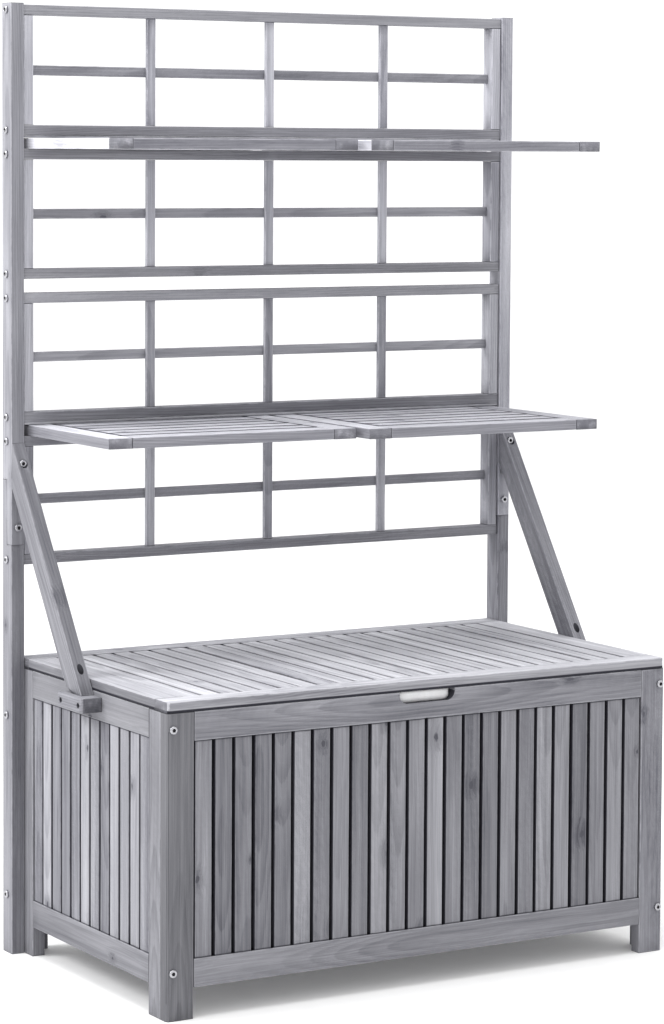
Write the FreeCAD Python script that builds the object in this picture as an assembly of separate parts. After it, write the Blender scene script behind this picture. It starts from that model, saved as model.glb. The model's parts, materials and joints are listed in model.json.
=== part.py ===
import FreeCAD, Part
import math
import os

# Potting bench: a slatted storage box with a hinged lid, and behind it two posts that carry a
# two-panel trellis with four sliding shelves. Millimetres, +Z up, +Y to the back, +X to the right.
# The origin is on the floor, under the middle of the whole bench.

os.makedirs("parts", exist_ok=True)
V = FreeCAD.Vector

# ---- driving dimensions ----
EDGE = 1.6                      # rounding along the edges of a planed board
CORNER = 6.5                    # rounding of the box's upright outer corners
BOARD_GAP = 5.2                 # gap between neighbouring slats
GROOVE = 8.0                    # how far a slat's ends sit in its rails
SLAT_T = 15.0                   # thickness of box and lid slats
OVER = 1.0                      # how far a cutter runs past what it cuts

BOX_HALF = 500.0                # half of the box's width
BOX_FRONT = -308.0
BOX_DEPTH = 573.0
BOX_BACK = BOX_FRONT + BOX_DEPTH
BOX_TOP = 509.5                 # top of the box, where the lid rests
FRAME_T = 24.0                  # thickness of the box's stiles and rails
STILE_W = 50.0                  # width of the front and back stiles
SIDE_STILE_W = 40.5
TOP_RAIL_Z = 461.0              # underside of the top rails
BOTTOM_RAIL_Z = (52.0, 100.0)   # underside and top of the bottom rails
SLAT_RECESS = 2.0
FRONT_SLATS = 24
SIDE_SLATS = 12
NOTCH_HALF = 55.5               # finger notch in the front top rail
NOTCH_DEPTH = 20.5
NOTCH_R = 16.0

FLOOR_BEARER = (30.0, 25.0)     # width and height of the bearers under the floor boards
FLOOR_BEARER_Z = 60.0
FLOOR_BOARD_T = 12.0
FLOOR_BOARDS = 7
FLOOR_GAP = 5.0
FLOOR_PLAY = 1.0                # between the ends of the floor boards and the sides

LINER_T = 1.2
LINER_GAP = 5.0                 # air between the liner and the box's walls
LINER_TOP = 508.5

LID_T = 18.0
LID_HALF = 499.0
LID_STILE_W = 53.0
LID_RAIL_W = 45.6
LID_SLATS = 24
LID_SLAT_Z = BOX_TOP + 2.0
LID_CORNER = 8.0
LID_BATTEN = (40.0, 18.0)       # width and height
LID_BATTEN_Y = (-110.0, 80.0)
LID_BATTEN_INSET = 6.0          # between a batten's end and the lid's stile

HINGE_X = (-360.0, 0.0, 360.0)
HINGE_W = 60.0
LEAF_T = 1.6
LEAF_D = 22.0
KNUCKLE_R = 4.0
KNUCKLES = 5
KNUCKLE_GAP = 0.4
PIN_R = 2.0
PIN_CLEARANCE = 0.05
PIN_HEAD_R = 3.0
PIN_HEAD_T = 1.5
AXIS_OUT = 0.3                  # between the box's back and the knuckles
AXIS_Y = BOX_BACK + KNUCKLE_R + AXIS_OUT
AXIS_Z = BOX_TOP

POST_W = 25.2
POST_Y = (232.4, 270.4)         # front and back face of a post
POST_TOP = 1680.0
LAP_Z = (729.0, 844.0)          # bottom and top of the half lap
POST_X = BOX_HALF + POST_W / 2
POST_MID_Y = (POST_Y[0] + POST_Y[1]) / 2

RAIL_H = 18.3                   # trellis rails
RAIL_Y = (236.4, 266.4)
PANEL_H = 480.0
PANEL_TOP = {"upper": 1677.4, "lower": 1173.0}
SLOT_H = 24.0                   # slot between the two middle rails, where the shelves slide
CELL_H = (PANEL_H - 4 * RAIL_H - SLOT_H) / 2
TRELLIS_STILE_W = 19.0
TRELLIS_STILE_GAP = 1.0         # between a trellis stile and its post
LATH = (18.0, 7.5)              # width and thickness of uprights and crossbars
UPRIGHT_X = (-244.0, 0.0, 244.0)
UPRIGHT_Y = 244.0               # front face of the uprights; crossbars lie behind them

SHELF_T = 18.6
SHELF_PLAY = 0.5                # above and below a shelf in its slot
STRIP_EDGE = 1.0                # rounding of the guide strips, and their play between the posts
SHELF_X = (5.5, 490.5)          # inner and outer side
SHELF_DEPTH = 390.0
SHELF_FRONT = {"left": -78.0, "right": -105.0}
SHELF_STILE_W = 45.0
SHELF_FRONT_RAIL = 47.0
SHELF_SLATS = 6
SHELF_SLAT_W = 38.5
SHELF_SLAT_GAP = 12.0
STOP_BATTEN = (18.0, 16.0)      # depth and height, under the shelf's rear edge

BRACE_W = 25.0                  # across, along X
BRACE_FOOT_Y = (-42.7, 10.9)    # front and back of the brace where it stands on its block
BRACE_FOOT_Z = 502.0
BRACE_ANGLE = 34.0              # degrees from upright
BRACE_HEEL = (17.0, 12.0)       # depth and height cut off the rear corner of the brace's foot
BRACE_LONG_EDGE = 300.0         # only edges longer than this are rounded
BLOCK_X = 40.0                  # how far a foot block stands out from the box
BLOCK_Y = (-71.5, 22.0)
BLOCK_Z = 477.0
BLOCK_R = 9.0
BLOCK_EDGE = 5.0                # rounding of a block's outer edges
BLOCK_SCREW_Y = (-61.0, 5.0)
BRACE_SCREW_Y = -15.0
BRACE_BORE_R = 5.5

BOLT_HEAD_R = 6.7
BOLT_HEAD_H = 4.0
BOLT_HEAD_CHAMFER = 1.0
BOLT_R = 3.0
BOLT_HOLE_R = 3.3
SOCKET_R = 3.4
SOCKET_DEPTH = 3.0
SCREW_HEAD_R = 3.6
SCREW_HEAD_H = 2.5
SCREW_R = 2.0
SCREW_HOLE_R = 2.2
SCREW_PLAY = 0.2                # room round a countersunk head
COUNTERBORE_R = 4.5
HEAD_PLAY = 0.6                 # room round a sunk bolt head

BOX_POST_BOLT_Z = (426.0, 105.0)    # post to box
POST_BOLT_L = POST_W + 36.0
SPLICE_BOLT_Z = (760.0, 814.0)      # upper post to lower post
SPLICE_BOLT_L = 34.0
CORNER_BOLT_Z = (80.0, 482.0)       # through the box's front stiles
CORNER_BOLT_X = 489.0
CORNER_BOLT_L = 58.0
BRACE_BOLT_Z = 875.0                # brace to post
BRACE_BOLT_SUNK = 4.5
BRACE_BOLT_CLEAR = 20.0
BRACE_SCREW_UP = 8.0                # brace down into its foot block
BRACE_SCREW_L = 30.0
BRACE_SCREW_SUNK = 70.0
BLOCK_SCREW_Z = 490.0               # foot block to box
BLOCK_SCREW_L = 48.0
BLOCK_SCREW_SUNK = 12.0
HINGE_SCREW_X = 20.0                # either side of the middle of a hinge
FIXED_LEAF_SCREW_L = 16.0
MOVING_LEAF_SCREW_L = 13.0

SIDES = {"left": -1, "right": 1}
ALONG = {"x": (0, 1, 2), "y": (1, 0, 2), "z": (2, 0, 1)}   # length axis, then the two across


# ---- shapes ----
def box(low, high):
    size = [b - a for a, b in zip(low, high)]
    return Part.makeBox(size[0], size[1], size[2], V(*low))


def board(low, high, grain, radii=(EDGE, EDGE, EDGE, EDGE)):
    """A straight board with its four long edges rounded. The radii go round the end face."""
    length, across, up = ALONG[grain]

    def at(a, b):
        place = [0.0, 0.0, 0.0]
        place[length] = low[length]
        place[across] = a
        place[up] = b
        return V(*place)

    corners = [(low[across], low[up], 1, 1), (high[across], low[up], -1, 1),
               (high[across], high[up], -1, -1), (low[across], high[up], 1, -1)]
    starts, arcs, ends = [], [], []
    for number, (a, b, in_a, in_b) in enumerate(corners):
        r = radii[number]
        on_a = at(a + in_a * r, b)
        on_b = at(a, b + in_b * r)
        cut = r * (1 - math.sqrt(0.5))
        middle = at(a + in_a * cut, b + in_b * cut)
        first, last = (on_b, on_a) if number % 2 == 0 else (on_a, on_b)
        starts.append(first)
        ends.append(last)
        arcs.append(Part.Arc(first, middle, last).toShape())
    edges = []
    for number in range(4):
        edges.append(arcs[number])
        edges.append(Part.LineSegment(ends[number], starts[(number + 1) % 4]).toShape())
    face = Part.Face(Part.Wire(edges))
    sweep = [0.0, 0.0, 0.0]
    sweep[length] = high[length] - low[length]
    return face.extrude(V(*sweep))


def rod(start, direction, length, radius):
    return Part.makeCylinder(radius, length, start, direction)


def corner_cutter(x, y, side_x, side_y, radius, z_low, z_high):
    """What is taken off an upright corner at x, y to round it. The sides point into the solid."""
    x_in = x + side_x * radius
    y_in = y + side_y * radius
    block = box((min(x, x_in), min(y, y_in), z_low), (max(x, x_in), max(y, y_in), z_high))
    return block.cut(rod(V(x_in, y_in, z_low), V(0, 0, 1), z_high - z_low, radius))


def mirrored(side, x_low, x_high):
    """The x span of a piece given for the right side, on either side of the bench."""
    return (x_low, x_high) if SIDES[side] > 0 else (-x_high, -x_low)


# ---- fasteners, and the holes they need ----
bolts, screws, lid_screws, holes = [], [], [], []


def bolt(seat, into, length):
    """A round-headed bolt with a hexagon socket, its head seated at a point and driven one way."""
    head = rod(seat - into * BOLT_HEAD_H, into, BOLT_HEAD_H, BOLT_HEAD_R)
    rim = [e for e in head.Edges if e.Closed and e.CenterOfMass.distanceToPoint(seat) > BOLT_HEAD_H / 2]
    head = head.makeChamfer(BOLT_HEAD_CHAMFER, rim)
    ring = Part.makePolygon([V(math.cos(math.radians(60 * k)), math.sin(math.radians(60 * k)), 0)
                             * SOCKET_R for k in range(7)])
    socket = Part.Face(ring).extrude(V(0, 0, SOCKET_DEPTH))
    socket.Placement = FreeCAD.Placement(seat - into * BOLT_HEAD_H, FreeCAD.Rotation(V(0, 0, 1), into))
    bolts.append(head.cut(socket).fuse(rod(seat, into, length, BOLT_R)).removeSplitter())
    holes.append(rod(seat, into, length + OVER, BOLT_HOLE_R))


def screw(seat, into, length, group, sunk=0.0, bore=COUNTERBORE_R):
    """A countersunk screw. A sunk one sits at the bottom of a counterbore that deep."""
    head = Part.makeCone(SCREW_HEAD_R, SCREW_R, SCREW_HEAD_H, seat, into)
    group.append(head.fuse(rod(seat, into, length, SCREW_R)).removeSplitter())
    holes.append(Part.makeCone(SCREW_HEAD_R + SCREW_PLAY, SCREW_HOLE_R, SCREW_HEAD_H, seat, into))
    holes.append(rod(seat, into, length + OVER, SCREW_HOLE_R))
    if sunk:
        holes.append(rod(seat - into * sunk, into, sunk, bore))


def rail_levels(panel):
    """Underside of a trellis panel's four rails, from the top down."""
    top = PANEL_TOP[panel]
    steps = (0.0, RAIL_H + CELL_H, 2 * RAIL_H + CELL_H + SLOT_H, PANEL_H - RAIL_H)
    return [top - RAIL_H - step for step in steps]


def brace_front(z):
    """Where the brace's front face is at a height."""
    return BRACE_FOOT_Y[0] + (z - BRACE_FOOT_Z) * math.tan(math.radians(BRACE_ANGLE))


def place_fasteners():
    """Every bolt and screw on the bench, with the hole that each one needs."""
    rail_centres = [z + RAIL_H / 2 for panel in PANEL_TOP for z in rail_levels(panel)]
    back = V(0, 1, 0)
    for side in SIDES.values():
        inward = V(-side, 0, 0)
        for z in rail_centres + list(BOX_POST_BOLT_Z):
            bolt(V(side * (BOX_HALF + POST_W), POST_MID_Y, z), inward, POST_BOLT_L)
        for z in SPLICE_BOLT_Z:
            bolt(V(side * POST_X, POST_Y[0], z), back, SPLICE_BOLT_L)
        for z in CORNER_BOLT_Z:
            bolt(V(side * CORNER_BOLT_X, BOX_FRONT, z), back, CORNER_BOLT_L)
        brace_x = side * (BOX_HALF + BRACE_W / 2)
        seat_y = brace_front(BRACE_BOLT_Z) + BRACE_BOLT_SUNK
        bolt(V(brace_x, seat_y, BRACE_BOLT_Z), back, POST_Y[0] - seat_y + SPLICE_BOLT_L)
        clear = V(brace_x, seat_y - BRACE_BOLT_CLEAR, BRACE_BOLT_Z)
        holes.append(rod(clear, back, BRACE_BOLT_CLEAR, BOLT_HEAD_R + HEAD_PLAY))
        seat_z = BRACE_FOOT_Z + BRACE_SCREW_UP
        seat = V(brace_x, BRACE_SCREW_Y, seat_z)
        screw(seat, V(0, 0, -1), BRACE_SCREW_L, screws, BRACE_SCREW_SUNK, BRACE_BORE_R)
        seat_x = BOX_HALF + BLOCK_X - BLOCK_SCREW_SUNK
        for y in BLOCK_SCREW_Y:
            screw(V(side * seat_x, y, BLOCK_SCREW_Z), inward, BLOCK_SCREW_L, screws, BLOCK_SCREW_SUNK)
    for x in HINGE_X:
        for step in (-HINGE_SCREW_X, HINGE_SCREW_X):
            seat = V(x + step, BOX_BACK - LEAF_D / 2, AXIS_Z)
            screw(seat, V(0, 0, -1), FIXED_LEAF_SCREW_L, screws)
            screw(seat, V(0, 0, 1), MOVING_LEAF_SCREW_L, lid_screws)


# ---- writing ----
def drilled(solid):
    for hole in holes:
        if solid.BoundBox.intersect(hole.BoundBox):
            solid = solid.cut(hole)
    return solid


def write(node, solids, drill=True):
    done = [drilled(solid) if drill else solid for solid in solids]
    for solid in done:
        if not solid.isValid() or len(solid.Solids) != 1:
            raise ValueError(node + " is not one valid solid")
    pieces = [solid.Solids[0] for solid in done]
    shape = pieces[0] if len(pieces) == 1 else Part.makeCompound(pieces)
    shape.exportStep("parts/" + node + ".step")


# ---- storage box ----
def box_corner_stiles(end, outer_y, inner_y):
    """The two broad stiles at the front or at the back, which are also the legs."""
    y_low, y_high = min(outer_y, inner_y), max(outer_y, inner_y)
    for side, sign in SIDES.items():
        x_low, x_high = mirrored(side, BOX_HALF - STILE_W, BOX_HALF)
        radii = [EDGE] * 4
        if sign < 0:
            radii[0 if outer_y < inner_y else 3] = CORNER
        else:
            radii[1 if outer_y < inner_y else 2] = CORNER
        write(end + "_" + side + "_stile", [board((x_low, y_low, 0), (x_high, y_high, BOX_TOP), "z", radii)])


def panel_slats(count, low, high, make):
    pitch = (high - low) / count
    return [make(low + pitch * k + BOARD_GAP / 2, low + pitch * (k + 1) - BOARD_GAP / 2)
            for k in range(count)]


def box_long_side(end, outer_y, inward):
    """Front or back panel: two rails and the slats that stand in their grooves."""
    inner_y = outer_y + inward * FRAME_T
    half = BOX_HALF - STILE_W
    y_low, y_high = min(outer_y, inner_y), max(outer_y, inner_y)
    slat_y = sorted((outer_y + inward * SLAT_RECESS, outer_y + inward * (SLAT_RECESS + SLAT_T)))
    top = board((-half, y_low, TOP_RAIL_Z), (half, y_high, BOX_TOP), "x")
    bottom = board((-half, y_low, BOTTOM_RAIL_Z[0]), (half, y_high, BOTTOM_RAIL_Z[1]), "x")
    slot_low, slot_high = BOTTOM_RAIL_Z[1] - GROOVE, TOP_RAIL_Z + GROOVE
    groove = box((-half, slat_y[0], slot_low), (half, slat_y[1], slot_high))
    top = top.cut(groove)
    bottom = bottom.cut(groove)
    if end == "front":
        top = top.cut(finger_notch(y_low - OVER, y_high + OVER))
    else:
        for x in HINGE_X:
            top = top.cut(leaf_plate(x, AXIS_Z - LEAF_T))
    write(end + "_top_rail", [top])
    write(end + "_bottom_rail", [bottom])
    write(end + "_slats", panel_slats(FRONT_SLATS, -half, half, lambda a, b: board(
        (a, slat_y[0], slot_low), (b, slat_y[1], slot_high), "z")))


def finger_notch(y_low, y_high):
    """Shallow cut in the top edge of the front rail, with rounded lower corners."""
    bottom = BOX_TOP - NOTCH_DEPTH
    cut = box((-NOTCH_HALF, y_low, bottom + NOTCH_R), (NOTCH_HALF, y_high, BOX_TOP + OVER))
    cut = cut.fuse(box((-NOTCH_HALF + NOTCH_R, y_low, bottom), (NOTCH_HALF - NOTCH_R, y_high, BOX_TOP)))
    for sign in (-1, 1):
        centre = V(sign * (NOTCH_HALF - NOTCH_R), y_low, bottom + NOTCH_R)
        cut = cut.fuse(rod(centre, V(0, 1, 0), y_high - y_low, NOTCH_R))
    return cut.removeSplitter()


def box_short_side(side):
    """Left or right panel: two stiles, two rails and the slats between them."""
    x_low, x_high = mirrored(side, BOX_HALF - FRAME_T, BOX_HALF)
    slat_x = mirrored(side, BOX_HALF - SLAT_RECESS - SLAT_T, BOX_HALF - SLAT_RECESS)
    front, back = BOX_FRONT + FRAME_T, BOX_BACK - FRAME_T
    inner = (front + SIDE_STILE_W, back - SIDE_STILE_W)
    slot_low, slot_high = BOTTOM_RAIL_Z[1] - GROOVE, TOP_RAIL_Z + GROOVE
    groove = box((slat_x[0], inner[0], slot_low), (slat_x[1], inner[1], slot_high))
    write(side + "_front_side_stile", [board((x_low, front, 0), (x_high, inner[0], BOX_TOP), "z")])
    write(side + "_rear_side_stile", [board((x_low, inner[1], 0), (x_high, back, BOX_TOP), "z")])
    top = board((x_low, inner[0], TOP_RAIL_Z), (x_high, inner[1], BOX_TOP), "y").cut(groove)
    bottom = board((x_low, inner[0], BOTTOM_RAIL_Z[0]), (x_high, inner[1], BOTTOM_RAIL_Z[1]), "y").cut(groove)
    write(side + "_side_top_rail", [top])
    write(side + "_side_bottom_rail", [bottom])
    write(side + "_side_slats", panel_slats(SIDE_SLATS, inner[0], inner[1], lambda a, b: board(
        (slat_x[0], a, slot_low), (slat_x[1], b, slot_high), "z")))


def box_floor():
    """Three bearers from front to back, and the boards that lie across them."""
    width, height = FLOOR_BEARER
    front, back = BOX_FRONT + FRAME_T, BOX_BACK - FRAME_T
    inside = BOX_HALF - FRAME_T
    bearers = []
    for x in (-inside, -width / 2, inside - width):
        bearers.append(board((x, front, FLOOR_BEARER_Z), (x + width, back, FLOOR_BEARER_Z + height), "y"))
    write("floor_bearers", bearers)
    z = FLOOR_BEARER_Z + height
    pitch = (back - front) / FLOOR_BOARDS
    boards = []
    for k in range(FLOOR_BOARDS):
        y = front + pitch * k + FLOOR_GAP / 2
        reach = inside - FLOOR_PLAY
        boards.append(board((-reach, y, z), (reach, y + pitch - FLOOR_GAP, z + FLOOR_BOARD_T), "x"))
    write("floor_boards", boards)


def box_liner():
    """Open-topped fabric liner that stands inside the box on its floor."""
    x = BOX_HALF - FRAME_T - LINER_GAP
    front, back = BOX_FRONT + FRAME_T + LINER_GAP, BOX_BACK - FRAME_T - LINER_GAP
    floor = FLOOR_BEARER_Z + FLOOR_BEARER[1] + FLOOR_BOARD_T
    outside = box((-x, front, floor), (x, back, LINER_TOP))
    inside = box((-x + LINER_T, front + LINER_T, floor + LINER_T),
                 (x - LINER_T, back - LINER_T, LINER_TOP + OVER))
    write("box_liner", [outside.cut(inside)], drill=False)


# ---- lid and hinges ----
def leaf_plate(x, z):
    return box((x - HINGE_W / 2, BOX_BACK - LEAF_D, z), (x + HINGE_W / 2, BOX_BACK, z + LEAF_T))


def lid():
    top = BOX_TOP + LID_T
    inner_x = LID_HALF - LID_STILE_W
    inner_y = (BOX_FRONT + LID_RAIL_W, BOX_BACK - LID_RAIL_W)
    slat_z = (LID_SLAT_Z, LID_SLAT_Z + SLAT_T)
    groove = box((-inner_x, inner_y[0] - GROOVE, slat_z[0]), (inner_x, inner_y[1] + GROOVE, slat_z[1]))
    front = board((-LID_HALF, BOX_FRONT, BOX_TOP), (LID_HALF, inner_y[0], top), "x").cut(groove)
    back = board((-LID_HALF, inner_y[1], BOX_TOP), (LID_HALF, BOX_BACK, top), "x").cut(groove)
    for side, sign in SIDES.items():
        x_low, x_high = mirrored(side, inner_x, LID_HALF)
        write("lid_" + side + "_stile", [board((x_low, inner_y[0], BOX_TOP), (x_high, inner_y[1], top), "y")])
        front = front.cut(corner_cutter(sign * LID_HALF, BOX_FRONT, -sign, 1, LID_CORNER, BOX_TOP, top))
    for x in HINGE_X:
        back = back.cut(leaf_plate(x, AXIS_Z))
    write("lid_front_rail", [front])
    write("lid_back_rail", [back])
    write("lid_slats", panel_slats(LID_SLATS, -inner_x, inner_x, lambda a, b: board(
        (a, inner_y[0] - GROOVE, slat_z[0]), (b, inner_y[1] + GROOVE, slat_z[1]), "y")))
    width, height = LID_BATTEN
    reach = inner_x - LID_BATTEN_INSET
    battens = []
    for y in LID_BATTEN_Y:
        low, high = (-reach, y - width / 2, LID_SLAT_Z - height), (reach, y + width / 2, LID_SLAT_Z)
        battens.append(board(low, high, "x"))
    write("lid_battens", battens)


def hinge_leaf(x, own, plate_z):
    """One leaf with its own share of the knuckles, drilled for the pin."""
    step = HINGE_W / KNUCKLES
    leaf = leaf_plate(x, plate_z)
    for k in own:
        left = x - HINGE_W / 2 + step * k + KNUCKLE_GAP / 2
        width = step - KNUCKLE_GAP
        leaf = leaf.fuse(box((left, BOX_BACK - OVER, plate_z), (left + width, AXIS_Y, plate_z + LEAF_T)))
        leaf = leaf.fuse(rod(V(left, AXIS_Y, AXIS_Z), V(1, 0, 0), width, KNUCKLE_R))
    bore = rod(V(x - HINGE_W, AXIS_Y, AXIS_Z), V(1, 0, 0), 2 * HINGE_W, PIN_R + PIN_CLEARANCE)
    return leaf.cut(bore).removeSplitter()


def hinge_pin(x):
    pin = rod(V(x - HINGE_W / 2, AXIS_Y, AXIS_Z), V(1, 0, 0), HINGE_W, PIN_R)
    for left in (x - HINGE_W / 2 - PIN_HEAD_T, x + HINGE_W / 2):
        pin = pin.fuse(rod(V(left, AXIS_Y, AXIS_Z), V(1, 0, 0), PIN_HEAD_T, PIN_HEAD_R))
    return pin.removeSplitter()


def hinges():
    fixed = range(0, KNUCKLES, 2)
    moving = range(1, KNUCKLES, 2)
    write("hinge_fixed_leaves", [hinge_leaf(x, fixed, AXIS_Z - LEAF_T) for x in HINGE_X])
    write("hinge_moving_leaves", [hinge_leaf(x, moving, AXIS_Z) for x in HINGE_X])
    write("hinge_pins", [hinge_pin(x) for x in HINGE_X])


# ---- posts, braces and foot blocks ----
def posts():
    """Each post is two lengths joined by a half lap: the lower length keeps the back half."""
    front, back = POST_Y[0] - OVER, POST_Y[1] + OVER
    for side in SIDES:
        x = mirrored(side, BOX_HALF, BOX_HALF + POST_W)
        whole = board((x[0], POST_Y[0], 0), (x[1], POST_Y[1], POST_TOP), "z")
        left, right = x[0] - OVER, x[1] + OVER
        above = box((left, front, LAP_Z[1]), (right, back, POST_TOP + OVER))
        front_lap = box((left, front, LAP_Z[0]), (right, POST_MID_Y, LAP_Z[1]))
        upper = whole.common(above.fuse(front_lap).removeSplitter())
        below = box((left, front, -OVER), (right, back, LAP_Z[0]))
        back_lap = box((left, POST_MID_Y, LAP_Z[0]), (right, back, LAP_Z[1]))
        lower = whole.common(below.fuse(back_lap).removeSplitter())
        write(side + "_upper_post", [upper])
        write(side + "_lower_post", [lower])


def brace(side):
    """A raking strut: level at its foot, upright where it bears on the post."""
    slope = math.tan(math.radians(BRACE_ANGLE))
    x_low, x_high = mirrored(side, BOX_HALF, BOX_HALF + BRACE_W)
    front, back = BRACE_FOOT_Y
    heel_y, heel_z = BRACE_HEEL
    outline = [(front, BRACE_FOOT_Z), (back - heel_y, BRACE_FOOT_Z),
               (back + heel_z * slope, BRACE_FOOT_Z + heel_z),
               (POST_Y[0], BRACE_FOOT_Z + (POST_Y[0] - back) / slope),
               (POST_Y[0], BRACE_FOOT_Z + (POST_Y[0] - front) / slope)]
    points = [V(x_low, y, z) for y, z in outline]
    solid = Part.Face(Part.makePolygon(points + points[:1])).extrude(V(x_high - x_low, 0, 0))
    long_edges = [e for e in solid.Edges if e.Length > BRACE_LONG_EDGE]
    write(side + "_brace", [solid.makeFillet(EDGE, long_edges)])


def foot_block(side):
    sign = SIDES[side]
    x_low, x_high = mirrored(side, BOX_HALF, BOX_HALF + BLOCK_X)
    radii = [BLOCK_EDGE if outer == sign else EDGE for outer in (-1, 1, 1, -1)]
    solid = board((x_low, BLOCK_Y[0], BLOCK_Z), (x_high, BLOCK_Y[1], BRACE_FOOT_Z), "y", radii)
    outer_x = sign * (BOX_HALF + BLOCK_X)
    for y, inward in zip(BLOCK_Y, (1, -1)):
        solid = solid.cut(corner_cutter(outer_x, y, -sign, inward, BLOCK_R, BLOCK_Z, BRACE_FOOT_Z))
    write(side + "_foot_block", [solid])


# ---- trellis ----
def trellis(panel):
    """Four rails, short stiles at both ends, three uprights and two crossbars."""
    levels = rail_levels(panel)
    write(panel + "_trellis_rails", [board((-BOX_HALF, RAIL_Y[0], z), (BOX_HALF, RAIL_Y[1], z + RAIL_H), "x")
                                     for z in levels])
    cells = [(levels[1] + RAIL_H, levels[0]), (levels[3] + RAIL_H, levels[2])]
    stiles, uprights, crossbars = [], [], []
    outer = BOX_HALF - TRELLIS_STILE_GAP
    width, thickness = LATH
    for low, high in cells:
        for side in SIDES:
            x = mirrored(side, outer - TRELLIS_STILE_W, outer)
            stiles.append(board((x[0], RAIL_Y[0], low), (x[1], RAIL_Y[1], high), "z"))
        for x in UPRIGHT_X:
            left, right = x - width / 2, x + width / 2
            uprights.append(board((left, UPRIGHT_Y, low), (right, UPRIGHT_Y + thickness, high), "z"))
        reach = outer - TRELLIS_STILE_W
        middle = (low + high) / 2
        crossbars.append(board((-reach, UPRIGHT_Y + thickness, middle - width / 2),
                               (reach, UPRIGHT_Y + 2 * thickness, middle + width / 2), "x"))
    write(panel + "_trellis_stiles", stiles)
    write(panel + "_trellis_uprights", uprights)
    write(panel + "_trellis_crossbars", crossbars)


def guide_strips():
    """A thin strip under the rail above each slot, which keeps the shelves level."""
    strips = []
    for panel in PANEL_TOP:
        slot_top = rail_levels(panel)[1]
        thickness = SLOT_H - SHELF_T - 2 * SHELF_PLAY
        reach = BOX_HALF - STRIP_EDGE
        low, high = (-reach, RAIL_Y[0], slot_top - thickness), (reach, RAIL_Y[1], slot_top)
        strips.append(board(low, high, "x", [STRIP_EDGE] * 4))
    write("shelf_guide_strips", strips)


# ---- shelves ----
def shelf(panel, side):
    """A frame of two stiles and two rails with a stop batten under its rear edge, and its slats."""
    front = SHELF_FRONT[side]
    back = front + SHELF_DEPTH
    low = rail_levels(panel)[2] + RAIL_H + SHELF_PLAY
    top = low + SHELF_T
    x_low, x_high = mirrored(side, SHELF_X[0], SHELF_X[1])
    inner = (x_low + SHELF_STILE_W, x_high - SHELF_STILE_W)
    slats = []
    y = front + SHELF_FRONT_RAIL + SHELF_SLAT_GAP
    for _ in range(SHELF_SLATS):
        slats.append(board((inner[0], y, low), (inner[1], y + SHELF_SLAT_W, top), "x"))
        y += SHELF_SLAT_W + SHELF_SLAT_GAP
    frame = [board((x_low, front, low), (inner[0], back, top), "y"),
             board((inner[1], front, low), (x_high, back, top), "y"),
             board((inner[0], front, low), (inner[1], front + SHELF_FRONT_RAIL, top), "x"),
             board((inner[0], y, low), (inner[1], back, top), "x"),
             board((x_low, back - STOP_BATTEN[0], low - STOP_BATTEN[1]), (x_high, back, low), "x")]
    name = panel + "_" + side + "_shelf"
    write(name + "_frame", frame)
    write(name + "_slats", slats)


place_fasteners()
box_corner_stiles("front", BOX_FRONT, BOX_FRONT + FRAME_T)
box_corner_stiles("back", BOX_BACK, BOX_BACK - FRAME_T)
box_long_side("front", BOX_FRONT, 1)
box_long_side("back", BOX_BACK, -1)
box_floor()
box_liner()
lid()
hinges()
posts()
guide_strips()
for bench_side in SIDES:
    box_short_side(bench_side)
    brace(bench_side)
    foot_block(bench_side)
for trellis_panel in PANEL_TOP:
    trellis(trellis_panel)
    for bench_side in SIDES:
        shelf(trellis_panel, bench_side)
write("bolts", bolts, drill=False)
write("screws", screws, drill=False)
write("lid_hinge_screws", lid_screws, drill=False)
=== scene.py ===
import json
import math
import random
import zlib

import bmesh
import bpy
from mathutils import Matrix, Vector, noise

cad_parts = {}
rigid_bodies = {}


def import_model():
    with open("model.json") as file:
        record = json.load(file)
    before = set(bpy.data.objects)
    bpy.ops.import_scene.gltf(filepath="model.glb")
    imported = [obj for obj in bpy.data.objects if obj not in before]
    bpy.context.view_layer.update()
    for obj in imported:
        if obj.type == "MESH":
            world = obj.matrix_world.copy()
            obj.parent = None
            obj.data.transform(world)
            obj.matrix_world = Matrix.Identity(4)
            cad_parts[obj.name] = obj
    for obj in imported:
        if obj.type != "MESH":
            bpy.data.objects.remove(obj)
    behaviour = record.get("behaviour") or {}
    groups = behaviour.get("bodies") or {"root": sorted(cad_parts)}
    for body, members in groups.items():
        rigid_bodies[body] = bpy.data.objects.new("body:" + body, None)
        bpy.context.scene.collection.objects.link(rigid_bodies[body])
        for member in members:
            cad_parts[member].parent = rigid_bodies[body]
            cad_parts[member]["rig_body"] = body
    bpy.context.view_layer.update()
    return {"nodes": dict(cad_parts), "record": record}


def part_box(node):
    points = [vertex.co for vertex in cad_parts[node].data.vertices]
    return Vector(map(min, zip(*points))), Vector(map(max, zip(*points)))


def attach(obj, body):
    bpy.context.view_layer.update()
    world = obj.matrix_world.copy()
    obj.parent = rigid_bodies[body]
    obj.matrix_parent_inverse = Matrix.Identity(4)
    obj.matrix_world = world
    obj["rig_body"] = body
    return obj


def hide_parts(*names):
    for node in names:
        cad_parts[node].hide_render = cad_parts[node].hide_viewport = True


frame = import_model()
record = frame["record"]

# ---- driving values, in metres and radians ----
MM = 0.001
WELD = 2e-5                     # CAD meshes come with split corners
CUT_STEP = 0.03                 # how often a board is divided along its grain
SHARP = math.radians(38)
BRACE_RAKE = math.radians(34)   # the braces' angle from upright
SOCKET_RADIUS = 3.7 * MM        # faces within this of a bolt's axis are inside its socket

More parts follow.
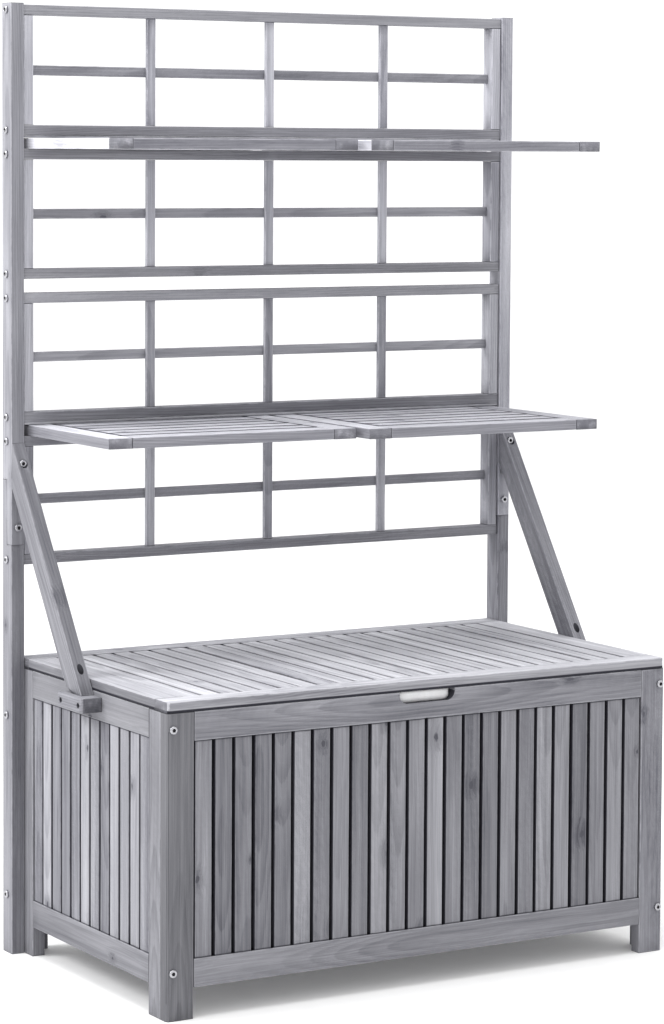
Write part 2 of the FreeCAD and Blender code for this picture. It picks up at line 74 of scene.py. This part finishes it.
# a board's wear
PLANED = 0.16 * MM              # how uneven its faces are
RUBBED_OFF = 0.75 * MM          # the most that is lost from an edge
EDGE_REACH = 2.2 * MM           # how far from an edge the rubbing reaches
BORE_INSET = 3.0 * MM           # a hole's faces lie at least this far from a board's edges
BORE_DEPTH = 0.6 * MM
SLAT_LOOSE = 0.40 * MM          # the most that a slat bows, and that it stands out of line
SHELF_SLAT_LOOSE = 0.12 * MM

# a board's figure: noise scales per metre along the grain, across it and into the board
SEED_SHIFT = (37.0, 91.0, 53.0)     # sets the boards' figures apart
KNOT_CELLS = (4.6, 7.5, 0.0)
KNOT_RAGGED = (90.0, 150.0, 90.0)
WANDER = (2.6, 9.0, 9.0)
WANDER_BY = 0.020
FINE_GRAIN = (7.0, 560.0, 560.0)
MEDIUM_GRAIN = (1.8, 120.0, 120.0)
BROAD_TONE = (3.4, 16.0, 16.0)
RING_WIDTH = 0.0044
HEART_BELOW = (0.10, 0.004)         # how far under the board the tree's heart lies: range and least
HEART_ASIDE = 0.05

# where edges pale (partly wear, partly painted highlight), end grain darkens, and painted shade falls on
# narrow sides, slat ends and lower edges: distances from a board's faces at which each starts and is full
WORN_AND_HIGHLIT_EDGE_REACH = (0.0028, 0.0006)
SIDE_SHADE_REACH = (0.0016, 0.0005)
END_DIRT = (0.0012, 0.0006)
GROOVE_SHADE_REACH = (0.0120, 0.0095)
NEAR_GROOVE = (0.030, 0.014)
UNDER_SHADE_REACH = (0.0052, 0.0034)

# the liner
LINER_STEP = 0.005              # mesh spacing of the cloth
LINER_THICKNESS = 1.0 * MM
LINER_ROUND = 0.036             # rounding of the liner's corners
CORNER_PULL = 0.3               # how far a corner is pulled in, as a share of the rounding
FOLD_SCALE = Vector((9, 9, 2.2))
RIPPLE_SCALE = Vector((34, 34, 11))
SLACK = (2.5, 4.5, 1.2)         # in mm: how far the walls hang inwards, and their folds' and ripples' depth
NOTCH_HALF = 0.0545             # the part of the finger notch that the liner fills
NOTCH_SILL = 0.4892
NOTCH_ROUND = 0.016
NOTCH_FOLD = 0.012              # how far behind the box's front the cloth shows in the notch

# the studio
FLOOR_REACH = 12.0
AIM = (0, 0, 0.8)               # where the lights point
WORLD_LIGHT = 1.2
KEY_PLACE, KEY_SIZE, KEY_POWER = (-4.0, 1.6, 3.6), 2.0, 135.0
TOP_PLACE, TOP_SIZE, TOP_POWER = (-0.6, -0.3, 4.6), 3.0, 108.0
CAMERA_PLACE = (-2.9514, -4.9646, 1.4174)
YAW, PITCH, ROLL = 0.5349, 0.0650, 0.0054
LENS, SENSOR, SHIFT_Y = 114.74, 36.0, -0.141


# ---- node graphs ----
class Graph:
    """A short way to write shader nodes: each call adds a node and returns its output."""

    def __init__(self, name):
        self.material = bpy.data.materials.new(name)
        self.material.use_nodes = True
        self.tree = self.material.node_tree
        self.tree.nodes.clear()

    def node(self, kind, settings=None, **inputs):
        made = self.tree.nodes.new("ShaderNode" + kind)
        for key, value in (settings or {}).items():
            setattr(made, key, value)
        for key, value in inputs.items():
            self.feed(made.inputs[key.replace("_", " ")], value)
        return made

    def feed(self, socket, value):
        if isinstance(value, bpy.types.NodeSocket):
            self.tree.links.new(value, socket)
        else:
            socket.default_value = value

    def math(self, operation, a, b=0.0, c=0.0, clamp=False):
        made = self.node("Math", {"operation": operation, "use_clamp": clamp})
        for socket, value in zip(made.inputs, (a, b, c)):
            self.feed(socket, value)
        return made.outputs[0]

    def times(self, a, b):
        return self.math("MULTIPLY", a, b)

    def plus(self, a, b):
        return self.math("ADD", a, b)

    def minus(self, a, b):
        return self.math("SUBTRACT", a, b)

    def swing(self, value, weight, base):
        """The base, moved up or down by a value that swings about a half."""
        return self.math("MULTIPLY_ADD", self.minus(value, 0.5), weight, base)

    def vector(self, operation, a, b=(0, 0, 0)):
        made = self.node("VectorMath", {"operation": operation})
        self.feed(made.inputs[0], a)
        self.feed(made.inputs["Scale" if operation == "SCALE" else 1], b)
        return made.outputs["Value" if operation == "LENGTH" else "Vector"]

    def split(self, vector):
        return self.node("SeparateXYZ", Vector=vector).outputs[:]

    def join(self, x, y, z):
        return self.node("CombineXYZ", X=x, Y=y, Z=z).outputs[0]

    def noise(self, vector, scale=1.0, detail=3.0, rough=0.55, distortion=0.0):
        made = self.node("TexNoise", {"noise_dimensions": "3D"}, Vector=vector, Scale=scale, Detail=detail,
                         Roughness=rough, Distortion=distortion)
        return made.outputs["Fac"]

    def stretched(self, vector, scales, detail=3.0, rough=0.55):
        """Noise with its own scale along each axis."""
        return self.noise(self.vector("MULTIPLY", vector, scales), detail=detail, rough=rough)

    def chance(self, seed, spacing):
        """A random number for each seed."""
        made = self.node("TexWhiteNoise", {"noise_dimensions": "1D"}, W=self.times(seed, spacing))
        return made.outputs["Value"]

    def ramp(self, value, low, high, to_low=0.0, to_high=1.0, smooth=True):
        made = self.node("MapRange", {"interpolation_type": "SMOOTHSTEP" if smooth else "LINEAR"})
        for key, number in (("Value", value), ("From Min", low), ("From Max", high), ("To Min", to_low),
                            ("To Max", to_high)):
            self.feed(made.inputs[key], number)
        return made.outputs["Result"]

    def mix(self, factor, a, b, blend="MIX"):
        made = self.node("Mix", {"data_type": "RGBA", "blend_type": blend})
        for index, value in ((0, factor), (6, a), (7, b)):
            self.feed(made.inputs[index], value)
        return made.outputs[2]

    def colours(self, value, stops):
        made = self.node("ValToRGB")
        ramp = made.color_ramp
        while len(ramp.elements) < len(stops):
            ramp.elements.new(0.5)
        for element, (place, colour) in zip(ramp.elements, stops):
            element.position = place
            element.color = (*colour, 1)
        self.feed(made.inputs[0], value)
        return made.outputs[0]

    def attribute(self, name, kind="Vector"):
        return self.node("Attribute", {"attribute_name": name}).outputs[kind]

    def finish(self, colour, roughness, height=None, strength=0.5, distance=MM, **settings):
        shader = self.node("BsdfPrincipled", **settings)
        self.feed(shader.inputs["Base Color"], colour)
        self.feed(shader.inputs["Roughness"], roughness)
        if height is not None:
            bump = self.node("Bump", Strength=strength, Distance=distance, Height=height)
            self.feed(shader.inputs["Normal"], bump.outputs[0])
        output = self.node("OutputMaterial")
        self.tree.links.new(shader.outputs[0], output.inputs[0])
        return self.material


def grey(value, cool=1.06):
    """A slightly cool grey, as linear colour."""
    return (value, value, value * cool)


# ---- wood ----
def knots_on(g, place, share):
    """Knots, and the darker wood round them. A share of the cells across a board's face hold one, ragged and
    drawn out along the grain."""
    ragged = g.stretched(place, KNOT_RAGGED, rough=0.65)
    cells = g.node("TexVoronoi", {"voronoi_dimensions": "2D"}, Vector=g.vector("MULTIPLY", place, KNOT_CELLS),
                   Scale=1.0)
    pick, vary, _ = g.split(cells.outputs["Color"])
    chosen = g.ramp(pick, 1 - share, 1 - share + 0.01)
    size = g.math("MULTIPLY_ADD", vary, 0.030, 0.016)
    distance = g.swing(ragged, 0.055, cells.outputs["Distance"])
    knot = g.minus(1.0, g.ramp(distance, g.times(size, 0.45), size))
    around = g.minus(1.0, g.ramp(distance, size, g.times(size, 4.5)))
    return g.times(knot, chosen), g.times(around, chosen)


def growth_rings(g, local, x, seed, bend, fine):
    """The dark latewood of growth rings cut at a low angle. On some of the boards its lines close into long
    arches."""
    _, y, z = g.split(local)
    heart = g.noise(g.join(g.times(seed, 71.0), g.times(x, 0.9), 0.3), detail=1.0)
    below = g.plus(z, g.math("MULTIPLY_ADD", heart, *HEART_BELOW))
    offset = g.noise(g.join(seed, seed, seed), 43.0, 0.0)
    aside = g.plus(y, g.math("MULTIPLY_ADD", offset, HEART_ASIDE, -HEART_ASIDE / 2))
    radius = g.vector("LENGTH", g.join(0.0, g.plus(aside, bend), below))
    rings = g.math("FRACT", g.math("DIVIDE", g.plus(radius, g.times(fine, 0.0009)), RING_WIDTH))
    latewood = g.times(g.ramp(rings, 0.20, 0.90), g.ramp(rings, 0.99, 0.92))
    figured = g.noise(g.join(g.times(seed, 19.0), g.times(x, 1.3), 0.7), detail=1.0)
    return g.times(latewood, g.ramp(figured, 0.38, 0.62))


def worn_edges_and_painted_shade(g, colour, local, half, place, dark, light):
    """Edges paler, partly rubbed wear and partly painted highlight; end grain darker; painted shade on narrow
    sides, on slat ends in their grooves, along lower edges and in bores; then the node's tone and painted
    light.
    """
    shade, side_shade, groove_shade = g.split(g.attribute("board_tone_and_shade"))
    under = g.attribute("board_under_shade", "Fac")
    bore = g.attribute("board_bore", "Fac")
    # the near-black of painted shade
    painted_shade_colour = (*grey(0.013, 1.6), 1)
    end_gap, side_gap, face_gap = g.split(g.vector("SUBTRACT", half, g.vector("ABSOLUTE", local)))
    least = g.math("MINIMUM", g.math("MINIMUM", end_gap, side_gap), face_gap)
    most = g.math("MAXIMUM", g.math("MAXIMUM", end_gap, side_gap), face_gap)
    total = g.plus(g.plus(end_gap, side_gap), face_gap)
    edge_gap = g.minus(g.minus(total, least), most)
    patchy = g.noise(place, 38.0, rough=0.6)

    # pale edges: partly rubbed wear, partly painted highlight
    worn_and_highlit_edge = g.times(g.ramp(edge_gap, *WORN_AND_HIGHLIT_EDGE_REACH), g.ramp(patchy, 0.30, 0.62))
    colour = g.mix(g.times(worn_and_highlit_edge, 0.50), colour, (*light, 1))
    # painted shade on narrow sides, and on slats' sides near their ends
    side_shade_mask = g.math("MAXIMUM", side_shade, g.times(groove_shade, g.ramp(end_gap, *NEAR_GROOVE)))
    colour = g.mix(g.times(g.ramp(side_gap, *SIDE_SHADE_REACH), side_shade_mask), colour, painted_shade_colour)
    # painted shade on slat ends where they sit in the frame's grooves
    groove_shade_mask = g.ramp(g.plus(end_gap, g.times(patchy, 0.002)), *GROOVE_SHADE_REACH)
    colour = g.mix(g.times(groove_shade_mask, groove_shade), colour, painted_shade_colour)
    # painted shade along lower edges, over the gap under the lid
    above_bottom = g.plus(g.split(local)[2], g.split(half)[2])
    colour = g.mix(g.times(g.ramp(above_bottom, *UNDER_SHADE_REACH), under), colour, painted_shade_colour)
    end_grain = g.times(g.ramp(end_gap, *END_DIRT), g.ramp(patchy, 0.1, 0.6, 0.35, 0.85))
    colour = g.mix(end_grain, colour, (*[v * 0.6 for v in dark], 1))
    # painted shade in bores
    colour = g.mix(g.times(bore, 0.85), colour, painted_shade_colour)
    # the node's own tone and painted light and shade, as one multiplier
    return g.mix(1.0, colour, g.join(shade, shade, shade), "MULTIPLY")


def wood(name, dark, light, spread, knots=0.5, streak=1.0):
    """Grey-washed planed softwood. It reads each board's own length, size, seed, tone and painted light and
    shade from its mesh.
    """
    g = Graph(name)
    local = g.attribute("board_local")
    half = g.attribute("board_half")
    seed = g.attribute("board_seed", "Fac")
    place = g.vector("ADD", local, g.vector("SCALE", SEED_SHIFT, seed))
    x, y, z = g.split(place)
    knot, around = knots_on(g, place, knots)

    # the grain wanders a little along the board and swells round the knots
    bend = g.times(g.minus(g.stretched(place, WANDER, detail=2.0), 0.5), WANDER_BY)
    bend = g.math("MULTIPLY_ADD", around, 0.006, bend)
    grain = g.join(x, g.plus(y, bend), g.plus(z, g.times(bend, 0.7)))
    fine = g.stretched(grain, FINE_GRAIN, detail=4.0, rough=0.62)
    medium = g.stretched(grain, MEDIUM_GRAIN, detail=4.0, rough=0.6)
    broad = g.stretched(place, BROAD_TONE, rough=0.5)
    latewood = growth_rings(g, local, x, seed, bend, fine)

    # the tone of the whole board and its lean to one side, then everything laid over it
    tone = g.swing(g.chance(seed, 977.0), spread, 0.5)
    sideways = g.math("DIVIDE", g.split(local)[1], g.plus(g.split(half)[1], MM))
    leaning = g.times(g.minus(g.chance(seed, 431.0), 0.5), sideways)
    tone = g.math("MULTIPLY_ADD", leaning, spread * 0.35, tone)
    tone = g.swing(medium, 0.62 * streak, tone)
    tone = g.swing(fine, 0.62 * streak, tone)
    tone = g.swing(broad, 0.50, tone)
    tone = g.math("MULTIPLY_ADD", latewood, -0.13 * streak, tone)
    tone = g.math("MULTIPLY_ADD", around, -0.20, tone)
    tone = g.math("MULTIPLY_ADD", knot, -0.50, tone, clamp=True)
    between = [(a + b) * 0.46 for a, b in zip(dark, light)]
    colour = g.colours(tone, [(0.0, dark), (0.5, between), (1.0, light)])
    colour = worn_edges_and_painted_shade(g, colour, local, half, place, dark, light)

    height = g.math("MULTIPLY_ADD", fine, 0.55, g.times(medium, 0.35))
    height = g.math("MULTIPLY_ADD", latewood, 0.22, height)
    height = g.math("MULTIPLY_ADD", knot, -0.35, height)
    rough = g.ramp(fine, 0.2, 0.8, 0.58, 0.82, smooth=False)
    return g.finish(colour, rough, height, strength=0.55, distance=0.6 * MM, Specular_IOR_Level=0.28)


# ---- steel and cloth materials ----
def galvanised(name, value, rough_low, rough_high):
    """Zinc-plated steel: faint mottling, fine scratches and duller patches, with painted shade on the faces
    down in a socket.
    """
    g = Graph(name)
    place = g.node("TexCoord").outputs["Object"]
    mottle = g.noise(place, 420.0, rough=0.6)
    patches = g.noise(place, 60.0, detail=2.0)
    scratches = g.stretched(place, (900.0, 900.0, 2600.0), detail=2.0)
    shade = g.math("MULTIPLY_ADD", patches, 0.45, g.times(mottle, 0.45), clamp=True)
    colour = g.colours(shade, [(0.2, grey(value * 0.62)), (0.8, grey(value))])
    # painted shade: faces down inside a socket turned near-black
    colour = g.mix(g.attribute("steel_socket_shade", "Fac"), colour, (0.03, 0.03, 0.033, 1))
    rough = g.ramp(mottle, 0.25, 0.75, rough_low, rough_high)
    return g.finish(colour, rough, g.plus(mottle, scratches), strength=0.25, distance=0.1 * MM, Metallic=1.0)


def felted(name, value):
    """Pale non-woven cloth with short matted fibres and a pressed dimple pattern."""
    g = Graph(name)
    place = g.node("TexCoord").outputs["Object"]
    fibres = g.noise(place, 900.0, detail=4.0, rough=0.7, distortion=1.5)
    clouds = g.noise(place, 70.0)
    dots = g.node("TexVoronoi", Vector=place, Scale=520.0).outputs["Distance"]
    shade = g.math("MULTIPLY_ADD", clouds, 0.5, g.times(fibres, 0.5), clamp=True)
    colour = g.colours(shade, [(0.2, grey(value * 0.80, 1.02)), (0.75, grey(value, 1.02))])
    return g.finish(colour, 0.95, g.plus(fibres, g.ramp(dots, 0.0, 0.35)), strength=0.6, distance=0.3 * MM,
                    Specular_IOR_Level=0.1)


# ---- solids in a mesh ----
def welded(node):
    """The CAD node's mesh with its split corners joined."""
    bm = bmesh.new()
    bm.from_mesh(frame["nodes"][node].data)
    bmesh.ops.remove_doubles(bm, verts=bm.verts, dist=WELD)
    return bm


def separate_solids(bm):
    """Splits solids that only touch along an edge and returns each solid's vertices."""
    seen, solids = set(), []
    for start in bm.faces:
        if start in seen:
            continue
        seen.add(start)
        queue, solid = [start], []
        while queue:
            face = queue.pop()
            solid.append(face)
            for edge in face.edges:
                if len(edge.link_faces) != 2:
                    continue
                for other in edge.link_faces:
                    if other not in seen:
                        seen.add(other)
                        queue.append(other)
        solids.append(solid)
    found = []
    for solid in solids:
        parts = bmesh.ops.split(bm, geom=solid)["geom"]
        found.append([part for part in parts if isinstance(part, bmesh.types.BMVert)])
    return found


def faces_of(verts):
    return {face for vert in verts for face in vert.link_faces}


def span(verts):
    low = Vector([min(v.co[k] for v in verts) for k in range(3)])
    high = Vector([max(v.co[k] for v in verts) for k in range(3)])
    return low, high


def cut_along(bm, verts, axis, step):
    """Divides solids across one axis, so that wear and bow can follow the length."""
    low, high = span(verts)
    count = max(1, round((high[axis] - low[axis]) / step))
    normal = Vector([1.0 if k == axis else 0.0 for k in range(3)])
    edges = {e for v in verts for e in v.link_edges}
    geometry = list(verts) + list(edges) + list(faces_of(verts))
    for k in range(1, count):
        point = low + normal * (high[axis] - low[axis]) * k / count
        cut = bmesh.ops.bisect_plane(bm, geom=geometry, dist=1e-6, plane_co=point, plane_no=normal)
        geometry = cut["geom"]
    return [g for g in geometry if isinstance(g, bmesh.types.BMVert) and g.is_valid]


def stand_in(bm, name, node, material, sharp=True):
    """Makes the piece that takes the CAD node's place and rides on the node's body."""
    mesh = bpy.data.meshes.new(name)
    bm.to_mesh(mesh)
    bm.free()
    mesh.shade_smooth()
    if sharp:
        mesh.set_sharp_from_angle(angle=SHARP)
    mesh.materials.append(material)
    piece = bpy.data.objects.new(name, mesh)
    bpy.context.scene.collection.objects.link(piece)
    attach(piece, frame["nodes"][node]["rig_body"])
    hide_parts(node)
    return piece


# ---- boards ----
def gaps_to_faces(local, half):
    """How far a spot lies from each pair of the board's faces, nearest first."""
    return sorted(h - abs(v) for v, h in zip(local, half))


def is_bore(face, local_layer, half_layer):
    """Whether a face is the wall or floor of a hole, away from the board's own faces and edges."""
    middle = Vector((0, 0, 0))
    for vert in face.verts:
        if gaps_to_faces(vert[local_layer], vert[half_layer])[1] < BORE_INSET:
            return False
        middle += vert[local_layer] / len(face.verts)
    return gaps_to_faces(middle, face.verts[0][half_layer])[0] > BORE_DEPTH


def wear_depth(local, half, seed):
    """How much wood is gone at a spot: a little from the faces and more from the edges."""
    edge_gap = max(0.0, gaps_to_faces(local, half)[1])
    near = max(0.0, 1.0 - edge_gap / EDGE_REACH)
    rub = 0.5 + 0.5 * noise.noise(Vector((local.x * 24 + seed * 300, local.y * 90, local.z * 90)))
    plane = 0.5 + 0.5 * noise.noise(Vector((local.x * 7 + seed * 90, local.y * 25, local.z * 25)))
    return PLANED * plane + RUBBED_OFF * near * rub * rub


def worn(node, material, loose=0.0, rake=0.0, shade=1.0, side_shade=0.0, groove_shade=0.0, under=0.0, front=0.0):
    """A worn copy of a CAD node's boards, each with its own grain, seed, wear and slight bow, carrying the
    node's tone and painted light and its painted shade on narrow sides, front faces, slat ends and lower
    edges.
    """
    picker = random.Random(zlib.crc32(node.encode()))
    bm = welded(node)
    turn = Matrix.Rotation(rake, 3, "X")
    for vert in bm.verts:
        vert.co = turn @ vert.co
    local_layer = bm.verts.layers.float_vector.new("board_local")
    half_layer = bm.verts.layers.float_vector.new("board_half")
    seed_layer = bm.verts.layers.float.new("board_seed")
    tone_and_shade_layer = bm.verts.layers.float_vector.new("board_tone_and_shade")
    under_shade_layer = bm.verts.layers.float.new("board_under_shade")
    bore_layer = bm.faces.layers.float.new("board_bore")
    for solid in separate_solids(bm):
        low, high = span(solid)
        size = high - low
        order = sorted(range(3), key=lambda k: -size[k])
        middle = (low + high) / 2
        half = Vector([size[k] / 2 for k in order])
        seed = picker.random()
        belly = picker.uniform(-loose, loose)
        shift = picker.uniform(-loose, loose)
        # painted shade on narrow sides; boards running along x take the painted front-face shade instead
        side = front if order[0] == 0 and front else side_shade
        solid = cut_along(bm, solid, order[0], CUT_STEP)
        bm.normal_update()
        moves = []
        for vert in solid:
            local = Vector([vert.co[k] - middle[k] for k in order])
            vert[local_layer] = local
            vert[half_layer] = half
            vert[seed_layer] = seed
            # the node's tone and painted light, and the painted shade on its narrow sides, at slat ends and
            # under lower edges
            vert[tone_and_shade_layer] = (shade, side, groove_shade)
            vert[under_shade_layer] = under
            move = vert.normal * -wear_depth(local, half, seed)
            move[order[2]] += belly * math.cos(math.pi * local.x / (2 * half.x)) + shift
            moves.append(move)
        for vert, move in zip(solid, moves):
            vert.co += move
        for face in faces_of(solid):
            face[bore_layer] = float(is_bore(face, local_layer, half_layer))
    back = turn.inverted()
    for vert in bm.verts:
        vert.co = back @ vert.co
    piece = stand_in(bm, node + "_boards", node, material)
    even = piece.modifiers.new("flat_shading", "WEIGHTED_NORMAL")
    even.keep_sharp = True


# ---- steel ----
def finished_steel(node, material, hollow_radius):
    """A copy of a node of bolts or screws that knows which of its faces lie down inside the sockets; those
    faces get painted shade.
    """
    bm = welded(node)
    socket_shade_layer = bm.faces.layers.float.new("steel_socket_shade")
    for solid in separate_solids(bm):
        low, high = span(solid)
        size = high - low
        middle = (low + high) / 2
        along = max(range(3), key=lambda k: size[k])
        for face in faces_of(solid):
            reach = 0.0
            for vert in face.verts:
                away = vert.co - middle
                away[along] = 0.0
                reach = max(reach, away.length)
            face[socket_shade_layer] = float(reach < hollow_radius)
    stand_in(bm, node + "_finished", node, material)


# ---- the liner ----
def open_bag(low, size):
    """Cloth in the shape of an open box: a grid for the floor, and walls that rise from its rim."""
    bm = bmesh.new()
    across, deep, tall = (round(v / LINER_STEP) for v in size)
    rows = [[bm.verts.new((low.x + size.x * i / across, low.y + size.y * j / deep, low.z))
             for i in range(across + 1)] for j in range(deep + 1)]
    for j in range(deep):
        for i in range(across):
            bm.faces.new((rows[j][i], rows[j][i + 1], rows[j + 1][i + 1], rows[j + 1][i]))
    left_side = [row[0] for row in rows[:0:-1]]
    right_side = [row[-1] for row in rows[:-1]]
    below = rows[0][:-1] + right_side + rows[-1][:0:-1] + left_side
    for k in range(1, tall + 1):
        ring = [bm.verts.new((v.co.x, v.co.y, low.z + size.z * k / tall)) for v in below]
        for n in range(len(ring)):
            m = (n + 1) % len(ring)
            bm.faces.new((below[n], below[m], ring[m], ring[n]))
        below = ring
    return bm


def cloth_noise(point, scale):
    return noise.noise(point * scale)


def slackened(point, low, size):
    """Where a point of the bag comes to lie: folds in the walls, rounded corners, a floor that isn't flat."""
    middle = low + size / 2
    up = (point.z - low.z) / size.z
    folds = cloth_noise(point, FOLD_SCALE)
    inward = MM * (SLACK[0] + SLACK[1] * folds + SLACK[2] * cloth_noise(point, RIPPLE_SCALE))
    inward = max(0.0, inward) * min(1.0, up * 4)
    moved = point.copy()
    near = [min(1.0, max(0.0, (abs(point[k] - middle[k]) - size[k] / 2 + LINER_ROUND) / LINER_ROUND))
            for k in range(2)]
    corner = LINER_ROUND * CORNER_PULL
    for share in near:
        corner *= 1 - math.cos(share * math.pi / 2)
    for k in range(2):
        wall = inward if near[k] == 1.0 else 0.0
        moved[k] -= math.copysign(wall + corner, point[k] - middle[k])
    if up < 0.01:
        moved.z += MM * max(0.0, 1.5 + 2.0 * folds)
    else:
        moved.z -= MM * up * (1.0 + 1.5 * abs(folds))
    return moved


def fold_into_notch(vert, point, rail_low, rail_high):
    """Pushes a vertex of the front wall out into the finger notch, over the notch's rounded sill."""
    over = max(0.0, abs(point.x) - NOTCH_HALF + NOTCH_ROUND)
    sill = NOTCH_SILL + NOTCH_ROUND - math.sqrt(NOTCH_ROUND ** 2 - over ** 2)
    if point.z < NOTCH_SILL + LINER_STEP / 2:
        vert.co.y = rail_high.y + MM / 2
        vert.co.z = sill
        return
    vert.co.y = rail_low.y + NOTCH_FOLD + 1.5 * MM * cloth_noise(point, RIPPLE_SCALE)
    if point.z < NOTCH_SILL + 1.5 * LINER_STEP:
        vert.co.z = max(sill, vert.co.z - LINER_STEP)


def liner(material):
    """The open-topped cloth liner: soft folds, rounded corners, and a fold that pushes out into the notch."""
    low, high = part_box("box_liner")
    size = high - low
    rail_low, rail_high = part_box("front_top_rail")
    bm = open_bag(low, size)
    for vert in bm.verts:
        point = vert.co.copy()
        vert.co = slackened(point, low, size)
        on_front = point.y - low.y < MM
        if on_front and point.z > NOTCH_SILL - LINER_STEP / 2 and abs(point.x) < NOTCH_HALF:
            fold_into_notch(vert, point, rail_low, rail_high)
    bmesh.ops.recalc_face_normals(bm, faces=bm.faces)
    piece = stand_in(bm, "liner_cloth_bag", "box_liner", material, sharp=False)
    thick = piece.modifiers.new("thickness", "SOLIDIFY")
    thick.thickness = LINER_THICKNESS


# ---- materials ----
WOODS = {
    "box_wood": wood("box_wood", grey(0.060, 1.22), grey(0.35, 1.08), 0.46, knots=0.66),
    "lid_wood": wood("lid_wood", grey(0.17, 1.16), grey(0.76), 0.22, knots=0.2, streak=1.35),
    "frame_wood": wood("frame_wood", grey(0.080, 1.22), grey(0.44, 1.08), 0.34),
    "shelf_wood": wood("shelf_wood", grey(0.085, 1.20), grey(0.50, 1.07), 0.30),
}
fastener_steel = galvanised("fastener_steel", 0.55, 0.22, 0.42)
screw_steel = galvanised("screw_steel", 0.05, 0.40, 0.60)
hinge_steel = galvanised("hinge_steel", 0.60, 0.30, 0.50)
liner_cloth = felted("liner_cloth", 0.92)

# ---- the wooden nodes ----
# how light a node's boards are, where they differ from the rest: partly their own tone, partly painted light
# and shade
TONE_AND_PAINTED_LIGHT = {
    "front_left_stile": 0.64, "front_right_stile": 1.25, "front_top_rail": 1.15,
    "left_side_slats": 1.35, "right_side_slats": 1.1, "left_side_top_rail": 0.85, "left_brace": 0.90,
    "left_upper_post": 1.10, "right_upper_post": 1.50,
    "upper_trellis_rails": 0.78, "upper_trellis_uprights": 1.5, "upper_trellis_stiles": 1.4,
    "lower_trellis_rails": 0.88, "lower_trellis_uprights": 1.3, "lower_trellis_stiles": 1.2,
}
# painted light: all shelf boards made lighter so that their tops read as brightly lit
SHELF_PAINTED_LIGHT = 1.75
# how dark the painted shade on the boards' narrow sides is, where it differs from the rest
SIDE_SHADE_BY_NODE = {
    "left_side_slats": 0.80, "right_side_slats": 0.80, "left_lower_post": 0.30, "left_upper_post": 0.22,
    "left_brace": 0.15, "lid_slats": 0.55, "lid_left_stile": 0.6, "lid_right_stile": 0.6,
    "lid_front_rail": 0.40,
}
# painted shade on slats' narrow sides and on the lower shelves' side rails
SLAT_SIDE_SHADE = 0.92
LOWER_SHELF_SIDE_SHADE = 0.65
# painted shade on the shelf frames' front faces
SHELF_FRONT_SHADE = 0.58
# painted shade on slat ends in their grooves
SLAT_GROOVE_SHADE = 0.8
# painted shade under the lid rails' lower edges
LID_UNDER_SHADE = 1.0

for entry in record["subparts"]:
    node, slot = entry["node"], entry["material_slot"]
    if slot not in WOODS:
        continue
    slats = "slats" in node or node == "floor_boards"
    shelf_frame = "shelf_frame" in node
    on_shelf = slot == "shelf_wood"
    loose = side_shade = 0.0
    if slats:
        loose = SHELF_SLAT_LOOSE if on_shelf else SLAT_LOOSE
        side_shade = SLAT_SIDE_SHADE
    elif shelf_frame and node.startswith("lower"):
        side_shade = LOWER_SHELF_SIDE_SHADE
    worn(node, WOODS[slot], loose=loose,
         rake=BRACE_RAKE if node.endswith("brace") else 0.0,
         shade=TONE_AND_PAINTED_LIGHT.get(node, SHELF_PAINTED_LIGHT if on_shelf else 1.0),
         side_shade=SIDE_SHADE_BY_NODE.get(node, side_shade),
         groove_shade=SLAT_GROOVE_SHADE if slats else 0.0,
         under=LID_UNDER_SHADE if node.startswith("lid_") and not slats else 0.0,
         front=SHELF_FRONT_SHADE if shelf_frame else 0.0)

# ---- the steel nodes and the cloth ----
finished_steel("bolts", fastener_steel, SOCKET_RADIUS)
for node in ("screws", "lid_hinge_screws"):
    finished_steel(node, screw_steel, 0.0)
for node in ("hinge_fixed_leaves", "hinge_moving_leaves", "hinge_pins"):
    frame["nodes"][node].data.materials.clear()
    frame["nodes"][node].data.materials.append(hinge_steel)
liner(liner_cloth)


# ---- floor, light and camera ----
def studio_floor():
    mesh = bpy.data.meshes.new("studio_floor")
    corners = [(-1, -1), (1, -1), (1, 1), (-1, 1)]
    mesh.from_pydata([(x * FLOOR_REACH, y * FLOOR_REACH, 0) for x, y in corners], [], [(0, 1, 2, 3)])
    floor = bpy.data.objects.new("studio_floor", mesh)
    bpy.context.scene.collection.objects.link(floor)
    g = Graph("studio_floor")
    speckle = g.noise(g.node("TexCoord").outputs["Object"], 30.0)
    pale = g.colours(speckle, [(0.3, grey(0.85, 1.0)), (0.7, grey(0.88, 1.0))])
    mesh.materials.append(g.finish(pale, 0.9, Specular_IOR_Level=0.1, Emission_Color=(1, 1, 1, 1),
                                   Emission_Strength=0.10))


def area_light(name, place, size, power):
    light = bpy.data.lights.new(name, "AREA")
    light.shape = "DISK"
    light.size = size
    light.energy = power
    lamp = bpy.data.objects.new(name, light)
    lamp.location = place
    lamp.rotation_euler = (Vector(AIM) - Vector(place)).to_track_quat("-Z", "Y").to_euler()
    bpy.context.scene.collection.objects.link(lamp)


def studio_light():
    world = bpy.data.worlds.new("studio")
    world.use_nodes = True
    background = world.node_tree.nodes["Background"]
    background.inputs["Color"].default_value = (1, 1, 1, 1)
    background.inputs["Strength"].default_value = WORLD_LIGHT
    bpy.context.scene.world = world
    area_light("key", KEY_PLACE, KEY_SIZE, KEY_POWER)
    area_light("top", TOP_PLACE, TOP_SIZE, TOP_POWER)


def studio_camera():
    camera = bpy.data.cameras.new("camera")
    camera.sensor_width = SENSOR
    camera.lens = LENS
    camera.shift_y = SHIFT_Y
    seat = bpy.data.objects.new("camera", camera)
    turn = Matrix.Rotation(-YAW, 4, "Z") @ Matrix.Rotation(math.pi / 2 - PITCH, 4, "X")
    turn = turn @ Matrix.Rotation(ROLL, 4, "Z")
    seat.matrix_world = Matrix.Translation(CAMERA_PLACE) @ turn
    bpy.context.scene.collection.objects.link(seat)
    bpy.context.scene.camera = seat


studio_floor()
studio_light()
studio_camera()
bpy.context.scene.view_settings.view_transform = "Standard"
